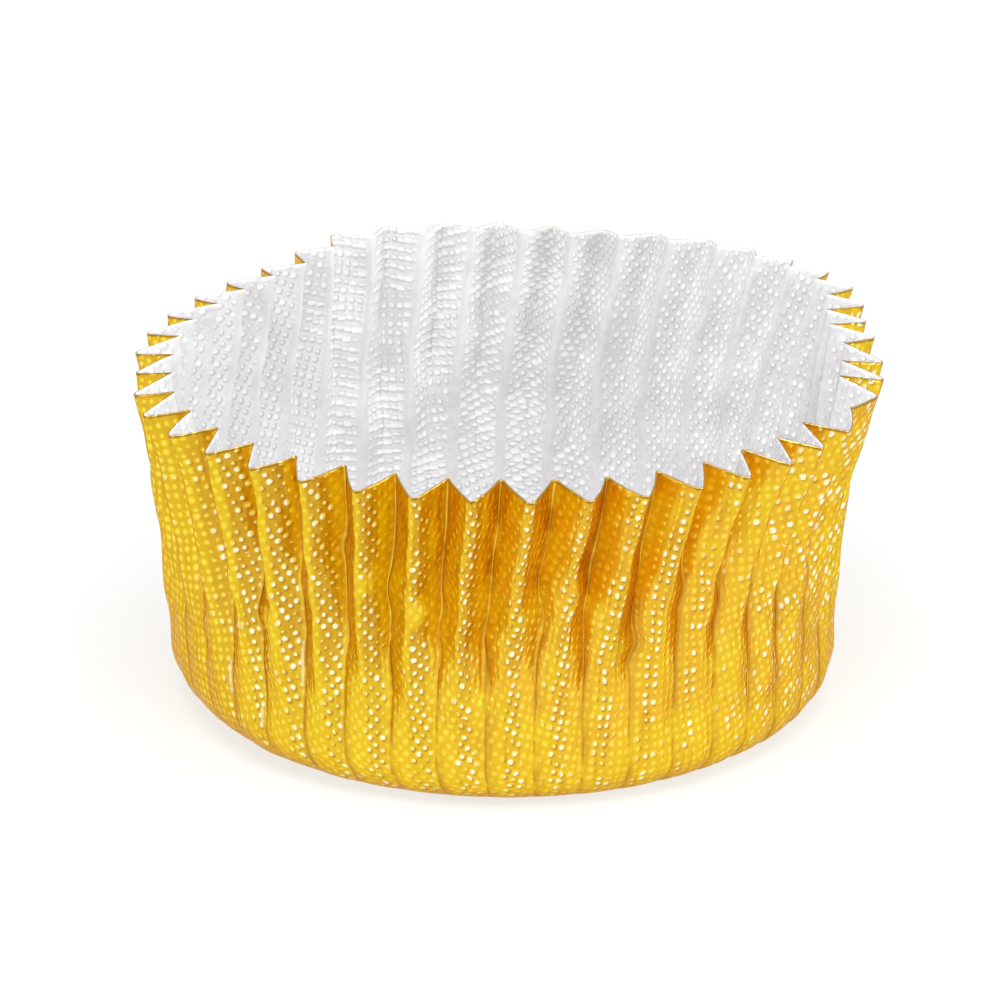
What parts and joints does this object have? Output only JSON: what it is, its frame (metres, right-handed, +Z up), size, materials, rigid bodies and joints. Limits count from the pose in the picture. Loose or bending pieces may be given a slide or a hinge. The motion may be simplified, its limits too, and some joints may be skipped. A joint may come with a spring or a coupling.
{
  "type": "cupcake liner",
  "caption": "Pleated baking cup of gold foil with a white lining: flat round base, rounded heel, flared fluted wall and a zigzag rim.",
  "frame": {"origin": "centre of the flat base's underside, on the surface that the cup stands on", "axes": "+Z up out of the open mouth, -Y towards the side that the picture was taken from, +X to the right of it"},
  "size_m": [0.067, 0.0655, 0.0326],
  "materials": {
    "gold_foil": "bright gold foil embossed with a fine square grid of pins, laminated to paper",
    "white_lining": "white greaseproof paper on the inside, with the same embossed grid"
  },
  "bodies": {
    "root": {"liner": "gold_foil"}
  },
  "joints": []
}
